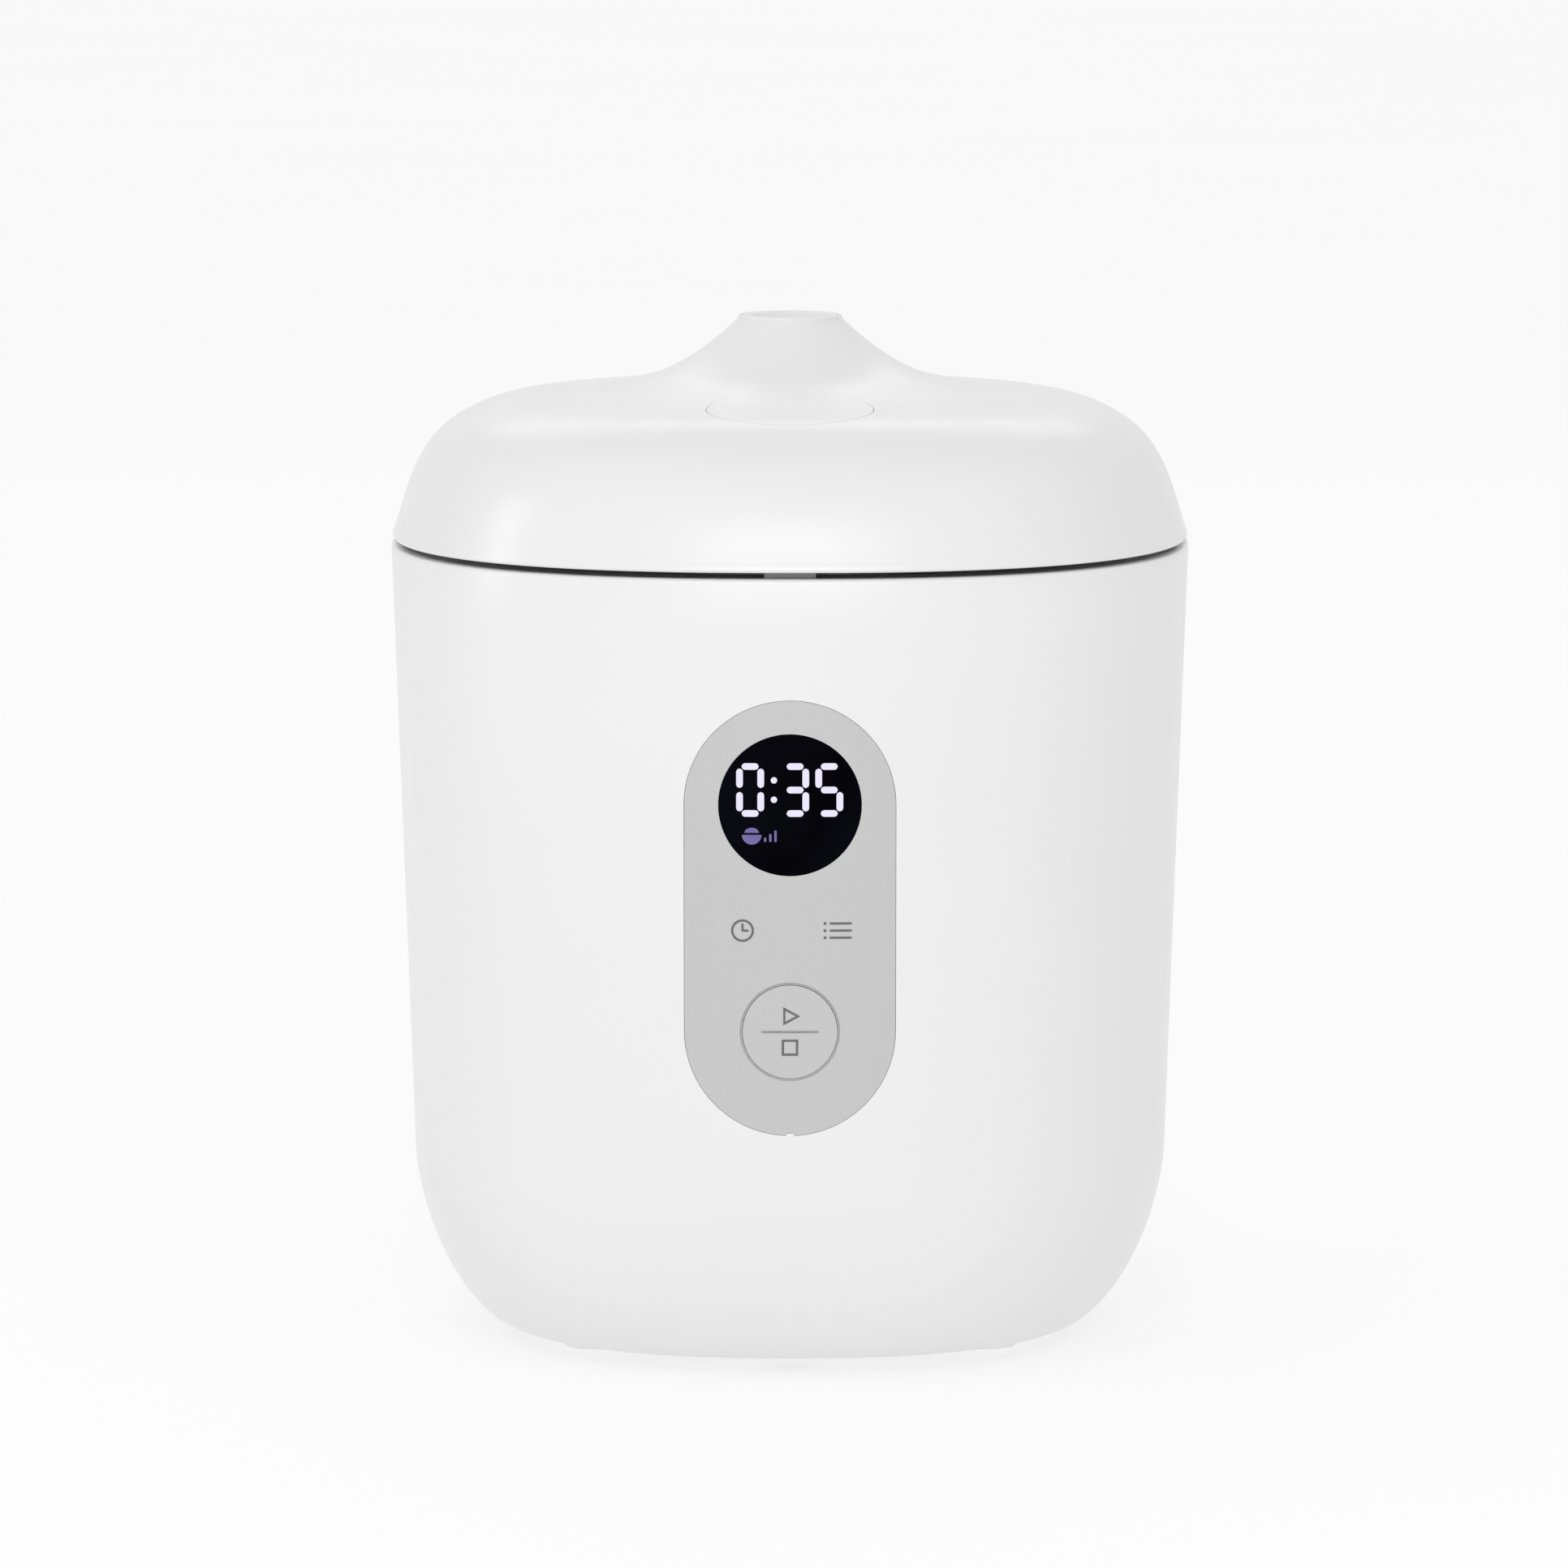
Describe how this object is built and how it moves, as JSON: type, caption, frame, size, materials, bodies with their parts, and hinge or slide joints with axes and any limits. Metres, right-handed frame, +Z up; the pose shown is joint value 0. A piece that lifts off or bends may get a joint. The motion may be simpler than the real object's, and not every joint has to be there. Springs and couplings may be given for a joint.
{
  "type": "mini electric rice cooker",
  "caption": "Small countertop electric cooker: rounded square body, rear-hinged domed lid with steam cap and release button, lift-out pot, front display and keys.",
  "frame": {"origin": "centre of the footprint on the surface that the feet stand on", "axes": "+Z up, -Y towards the control panel, +X to the right seen from the front"},
  "size_m": [0.16, 0.16, 0.2048],
  "materials": {
    "body_white": "satin white moulded plastic",
    "lid_white": "satin white moulded plastic",
    "inner_white": "plain white moulded plastic",
    "foot_rubber": "pale grey translucent rubber",
    "panel_silver": "light grey satin film with fine printed marks",
    "display_black": "smoked black window with lit white digits",
    "grey_plastic": "grey moulded plastic",
    "board_green": "green solder mask",
    "dark_plastic": "black moulded plastic",
    "transformer_tape": "yellow tape wound over a core",
    "steel": "plated steel",
    "aluminium": "satin aluminium",
    "pot_coating": "dark grey non-stick coating with fine flecks",
    "silicone": "pale silicone rubber",
    "lead_sleeve": "white glass-fibre sleeve"
  },
  "bodies": {
    "base": {"outer_body": "body_white", "top_deck": "inner_white", "latch_keeper": "steel", "heating_well": "aluminium", "heater_plate": "aluminium", "heater_element": "steel", "thermal_fuse": "steel", "sensor_guide": "grey_plastic", "sensor_spring": "steel", "base_plate": "body_white", "base_screw_1": "steel", "base_screw_2": "steel", "base_screw_3": "steel", "base_screw_4": "steel", "foot_1": "foot_rubber", "foot_2": "foot_rubber", "foot_3": "foot_rubber", "foot_4": "foot_rubber", "panel_fascia": "panel_silver", "display_lens": "display_black", "display_module": "grey_plastic", "control_board": "board_green", "key_switch": "steel", "touch_pad_left": "grey_plastic", "touch_pad_right": "grey_plastic", "power_board": "board_green", "transformer": "transformer_tape", "power_relay": "dark_plastic", "filter_capacitor": "dark_plastic", "power_inlet": "dark_plastic", "inlet_pin_left": "steel", "inlet_pin_right": "steel", "inlet_lead_left": "lead_sleeve", "inlet_lead_right": "lead_sleeve", "heater_lead_left": "lead_sleeve", "heater_lead_right": "lead_sleeve", "panel_cable": "lead_sleeve", "hinge_housing": "body_white", "hinge_pin": "steel", "hinge_spring_left": "steel", "hinge_spring_right": "steel"},
    "pot": {"inner_pot": "pot_coating"},
    "sensor": {"sensor_cap": "aluminium"},
    "key": {"cook_key": "panel_silver"},
    "lid": {"lid_cover": "lid_white", "lid_liner": "inner_white", "lid_screw_1": "steel", "lid_screw_2": "steel", "lid_screw_3": "steel", "lid_screw_4": "steel", "inner_lid_plate": "aluminium", "lid_gasket": "silicone", "plate_grommet": "silicone", "steam_seal": "silicone", "button_spring": "steel", "latch_pin": "steel"},
    "cap": {"steam_cap": "lid_white"},
    "button": {"release_button": "lid_white"},
    "latch": {"latch_lever": "steel"}
  },
  "joints": [
    {"name": "lid_hinge", "type": "hinge", "parent": "base", "child": "lid", "pos_m": [0, 0.0725, 0.168], "axis": [-1, 0, 0], "range_deg": [0, 85]},
    {"name": "pot_turn", "type": "hinge", "parent": "base", "child": "pot", "pos_m": [0, 0, 0.068], "axis": [0, 0, 1], "continuous": true},
    {"name": "sensor_press", "type": "slide", "parent": "base", "child": "sensor", "axis": [0, 0, -1], "range_m": [0, 0.0015], "stiffness_N_per_m": 800, "springref_m": -0.002, "deforming": ["sensor_spring"]},
    {"name": "key_press", "type": "slide", "parent": "base", "child": "key", "axis": [0, 1, 0], "range_m": [0, 0.0005], "stiffness_N_per_m": 2000, "springref_m": -0.0005},
    {"name": "cap_lift", "type": "slide", "parent": "lid", "child": "cap", "axis": [0, 0, 1], "range_m": [0, 0.03]},
    {"name": "button_press", "type": "slide", "parent": "lid", "child": "button", "axis": [0, 0, -1], "range_m": [0, 0.0025], "stiffness_N_per_m": 600, "springref_m": -0.003, "deforming": ["button_spring"]},
    {"name": "latch_pivot", "type": "hinge", "parent": "lid", "child": "latch", "pos_m": [0, -0.073, 0.166], "axis": [-1, 0, 0], "range_deg": [0, 6.2]}
  ],
  "couplings": [
    {"joint": "latch_pivot", "follows": "button_press", "rad_per_m": 43.2}
  ]
}
